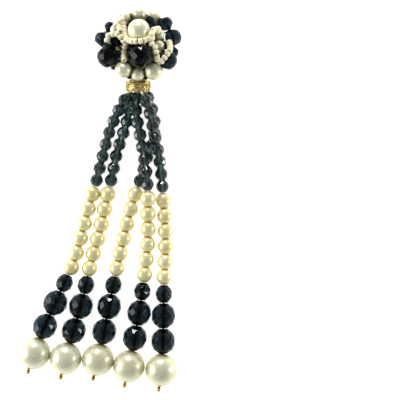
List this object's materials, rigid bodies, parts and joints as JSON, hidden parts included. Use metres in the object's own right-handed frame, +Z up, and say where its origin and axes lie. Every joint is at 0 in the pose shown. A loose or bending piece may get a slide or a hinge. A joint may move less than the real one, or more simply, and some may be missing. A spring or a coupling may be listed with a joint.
{
  "type": "chandelier earring",
  "caption": "Clip-on chandelier earring: a cluster of pearls and dark faceted beads on a pierced dome, with beaded strands from a filigree cap ending in large pearls.",
  "frame": {"origin": "middle of the flat outer face of the clip's paddle, on the surface that the earring lies on", "axes": "+Z up from the surface, -Y from the cluster down the strands, +X to the right as seen from above"},
  "size_m": [0.0511, 0.1196, 0.0198],
  "materials": {
    "gold": "polished pale yellow gold plate",
    "ivory_pearl": "lustrous ivory pearl nacre",
    "cream_pearl": "lustrous cream-gold pearl nacre",
    "teal_crystal": "dark teal translucent faceted glass",
    "navy_crystal": "deep navy-teal faceted glass"
  },
  "bodies": {
    "root": {"ear_clip": "gold", "bead_plate": "gold", "filigree_cap": "gold", "cap_pin": "gold", "centre_pearl": "ivory_pearl", "front_crystal": "navy_crystal", "left_low_crystal": "navy_crystal", "left_crystal": "navy_crystal", "left_pearl": "ivory_pearl", "far_left_crystal": "navy_crystal", "upper_left_crystal": "navy_crystal", "top_left_pearl": "ivory_pearl", "top_left_crystal": "navy_crystal", "top_pearl": "ivory_pearl", "top_right_crystal": "navy_crystal", "top_right_pearl": "ivory_pearl", "upper_right_crystal": "navy_crystal", "right_crystal": "navy_crystal", "right_small_crystal": "navy_crystal", "lower_right_crystal": "navy_crystal", "right_pearl": "ivory_pearl", "right_low_pearl": "ivory_pearl", "bottom_right_pearl": "ivory_pearl", "bottom_pearl": "ivory_pearl", "bottom_left_pearl": "ivory_pearl", "strand_1_crystals": "teal_crystal", "strand_1_pearls": "cream_pearl", "strand_1_mid_crystal": "navy_crystal", "strand_1_large_crystal_1": "navy_crystal", "strand_1_large_crystal_2": "navy_crystal", "strand_1_end_pearl": "ivory_pearl", "strand_1_head_pin": "gold", "strand_2_crystals": "teal_crystal", "strand_2_pearls": "cream_pearl", "strand_2_mid_crystal": "navy_crystal", "strand_2_large_crystal_1": "navy_crystal", "strand_2_large_crystal_2": "navy_crystal", "strand_2_end_pearl": "ivory_pearl", "strand_2_head_pin": "gold", "strand_3_crystals": "teal_crystal", "strand_3_pearls": "cream_pearl", "strand_3_mid_crystal": "navy_crystal", "strand_3_large_crystal_1": "navy_crystal", "strand_3_large_crystal_2": "navy_crystal", "strand_3_end_pearl": "ivory_pearl", "strand_3_head_pin": "gold", "strand_4_crystals": "teal_crystal", "strand_4_pearls": "cream_pearl", "strand_4_mid_crystal": "navy_crystal", "strand_4_large_crystal_1": "navy_crystal", "strand_4_large_crystal_2": "navy_crystal", "strand_4_end_pearl": "ivory_pearl", "strand_4_head_pin": "gold", "strand_5_crystals": "teal_crystal", "strand_5_pearls": "cream_pearl", "strand_5_mid_crystal": "navy_crystal", "strand_5_large_crystal_1": "navy_crystal", "strand_5_large_crystal_2": "navy_crystal", "strand_5_end_pearl": "ivory_pearl", "strand_5_head_pin": "gold"}
  },
  "joints": []
}
